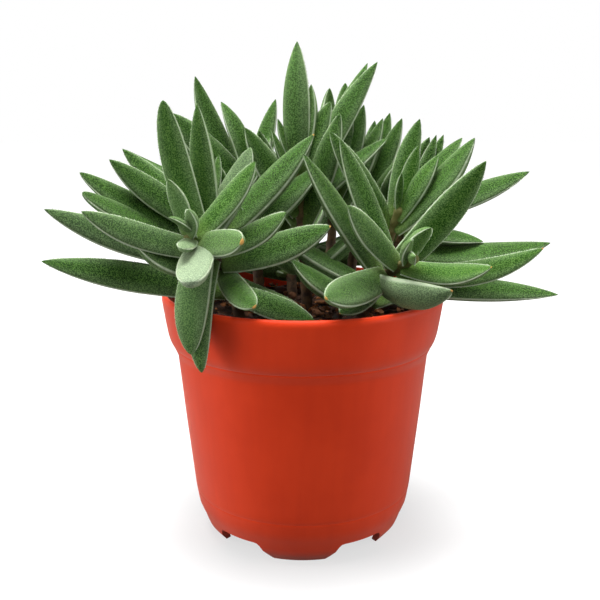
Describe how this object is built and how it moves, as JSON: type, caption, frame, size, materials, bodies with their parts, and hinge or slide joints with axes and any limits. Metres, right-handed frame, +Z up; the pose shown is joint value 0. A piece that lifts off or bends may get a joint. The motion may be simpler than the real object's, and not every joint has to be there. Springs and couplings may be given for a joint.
{
  "type": "potted succulent",
  "caption": "Bushy succulent with velvety, pointed, opposite leaves on short stems, growing in a round plastic nursery pot with a collar and feet.",
  "frame": {"origin": "on the pot's axis, at the level of its feet", "axes": "+Z up, -Y towards the front of the plant, +X to its right"},
  "size_m": [0.171, 0.155, 0.183],
  "materials": {
    "pot": "semi-gloss moulded terracotta red",
    "soil": "damp bark and peat mix",
    "stem": "dull brown bark",
    "leaf": "soft velvety green with short white hairs"
  },
  "bodies": {
    "root": {"pot": "pot", "soil": "soil", "stems": "stem", "leaf_pair_front_left_1": "leaf", "leaf_pair_front_left_2": "leaf", "leaf_pair_front_left_3": "leaf", "leaf_pair_front_left_4": "leaf", "leaf_pair_front_left_5": "leaf", "leaf_pair_front_left_6": "leaf", "leaf_pair_front_left_7": "leaf", "leaf_pair_front_left_8": "leaf", "leaf_pair_front_left_9": "leaf", "leaf_pair_front_left_10": "leaf", "leaf_pair_left_1": "leaf", "leaf_pair_left_2": "leaf", "leaf_pair_left_3": "leaf", "leaf_pair_left_4": "leaf", "leaf_pair_left_5": "leaf", "leaf_pair_back_left_1": "leaf", "leaf_pair_back_left_2": "leaf", "leaf_pair_back_left_3": "leaf", "leaf_pair_centre_1": "leaf", "leaf_pair_centre_2": "leaf", "leaf_pair_centre_3": "leaf", "leaf_pair_centre_4": "leaf", "leaf_pair_centre_5": "leaf", "leaf_pair_centre_6": "leaf", "leaf_pair_centre_7": "leaf", "leaf_pair_centre_right_1": "leaf", "leaf_pair_centre_right_2": "leaf", "leaf_pair_back_right_1": "leaf", "leaf_pair_back_right_2": "leaf", "leaf_pair_right_back_1": "leaf", "leaf_pair_right_back_2": "leaf", "leaf_pair_right_back_3": "leaf", "leaf_pair_right_1": "leaf", "leaf_pair_right_2": "leaf", "leaf_pair_right_3": "leaf", "leaf_pair_right_4": "leaf", "leaf_pair_front_right_1": "leaf", "leaf_pair_front_right_2": "leaf", "leaf_pair_front_right_3": "leaf", "leaf_pair_front_right_4": "leaf", "leaf_pair_front_right_5": "leaf", "leaf_pair_front_right_6": "leaf", "leaf_pair_front_right_7": "leaf", "leaf_pair_front_right_8": "leaf", "leaf_pair_back_centre_1": "leaf", "leaf_pair_back_centre_2": "leaf", "leaf_pair_back_centre_3": "leaf", "leaf_pair_back_centre_4": "leaf", "leaf_pair_back_centre_5": "leaf", "leaf_pair_far_left_1": "leaf", "leaf_pair_far_left_2": "leaf", "leaf_pair_far_left_3": "leaf", "leaf_pair_far_left_4": "leaf", "leaf_pair_far_right_1": "leaf", "leaf_pair_far_right_2": "leaf", "leaf_pair_far_right_3": "leaf", "leaf_pair_far_right_4": "leaf"}
  },
  "joints": []
}
